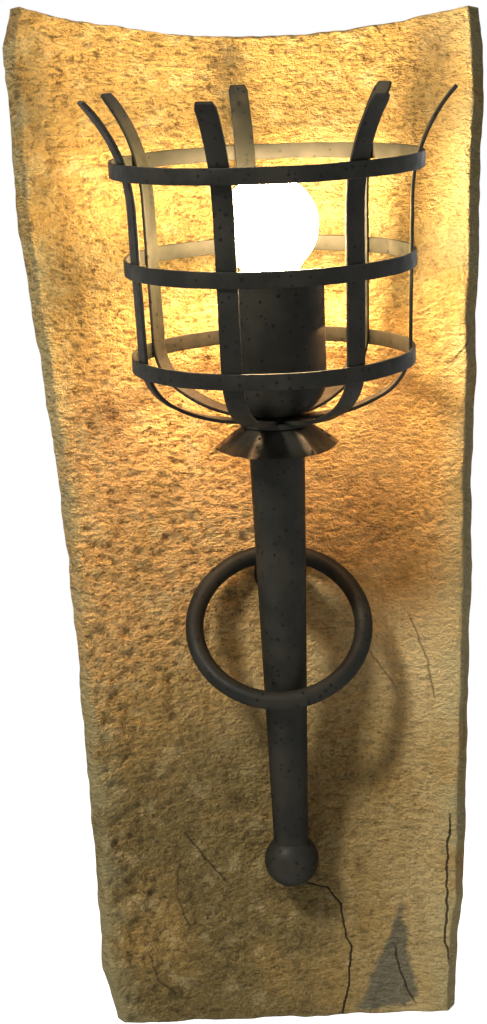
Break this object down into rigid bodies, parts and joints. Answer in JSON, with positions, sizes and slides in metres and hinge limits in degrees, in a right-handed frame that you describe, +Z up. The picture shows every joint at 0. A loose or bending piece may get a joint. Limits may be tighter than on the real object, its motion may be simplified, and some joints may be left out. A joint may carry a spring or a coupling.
{
  "type": "torch wall sconce",
  "caption": "Wrought-iron torch sconce: a strap-and-hoop basket with a bare lamp on a tapered shaft, hung with a ring on a concave fired-clay back slab.",
  "frame": {"origin": "midway between the two wall screws, in the wall plane", "axes": "+Z up, +Y into the wall, the room and the front on the -Y side, +X to the right seen from the room"},
  "size_m": [0.308, 0.2764, 0.6638],
  "materials": {
    "forged_iron": "matt anthracite paint with fine black specks",
    "zinc_steel": "zinc plated",
    "fired_clay": "unglazed, rough, sandy, worn",
    "porcelain": "glazed white",
    "brass": "plain",
    "frosted_glass": "frosted, lit",
    "cap_metal": "rolled screw cap",
    "black_glass": "black glass insulator",
    "solder": "solder"
  },
  "bodies": {
    "sconce": {"basket_hub": "forged_iron", "drip_collar": "forged_iron", "shaft": "forged_iron", "ball_end": "forged_iron", "lamp_cup": "forged_iron", "hoop_low": "forged_iron", "hoop_mid": "forged_iron", "hoop_top": "forged_iron", "spigot": "forged_iron", "ring_flange": "forged_iron", "ball_spacer": "forged_iron", "strap_1": "forged_iron", "strap_2": "forged_iron", "strap_3": "forged_iron", "strap_4": "forged_iron", "strap_5": "forged_iron", "strap_6": "forged_iron", "strap_7": "forged_iron", "spigot_tube": "zinc_steel", "spigot_washer": "zinc_steel", "spigot_nut": "zinc_steel", "lower_stud": "zinc_steel", "lower_washer": "zinc_steel", "lower_nut": "zinc_steel", "hub_tube": "zinc_steel", "hub_washer": "zinc_steel", "hub_nut": "zinc_steel", "shaft_plug": "zinc_steel", "wall_bracket": "zinc_steel", "back_slab": "fired_clay", "holder_plate": "zinc_steel", "holder_porcelain": "porcelain", "holder_shell": "brass", "holder_contact": "brass"},
    "ring": {"hanging_ring": "forged_iron"},
    "lamp": {"lamp_globe": "frosted_glass", "lamp_cap": "cap_metal", "lamp_insulator": "black_glass", "lamp_contact": "solder"}
  },
  "joints": [
    {"name": "ring_swing", "type": "hinge", "parent": "sconce", "child": "ring", "pos_m": [-0.0024, -0.03812, 0.10757], "axis": [-1, 0, 0], "range_deg": [0, 75]},
    {"name": "lamp_release", "type": "slide", "parent": "sconce", "child": "lamp", "axis": [0, -0.2419, 0.9703], "range_m": [0, 0.13]}
  ]
}
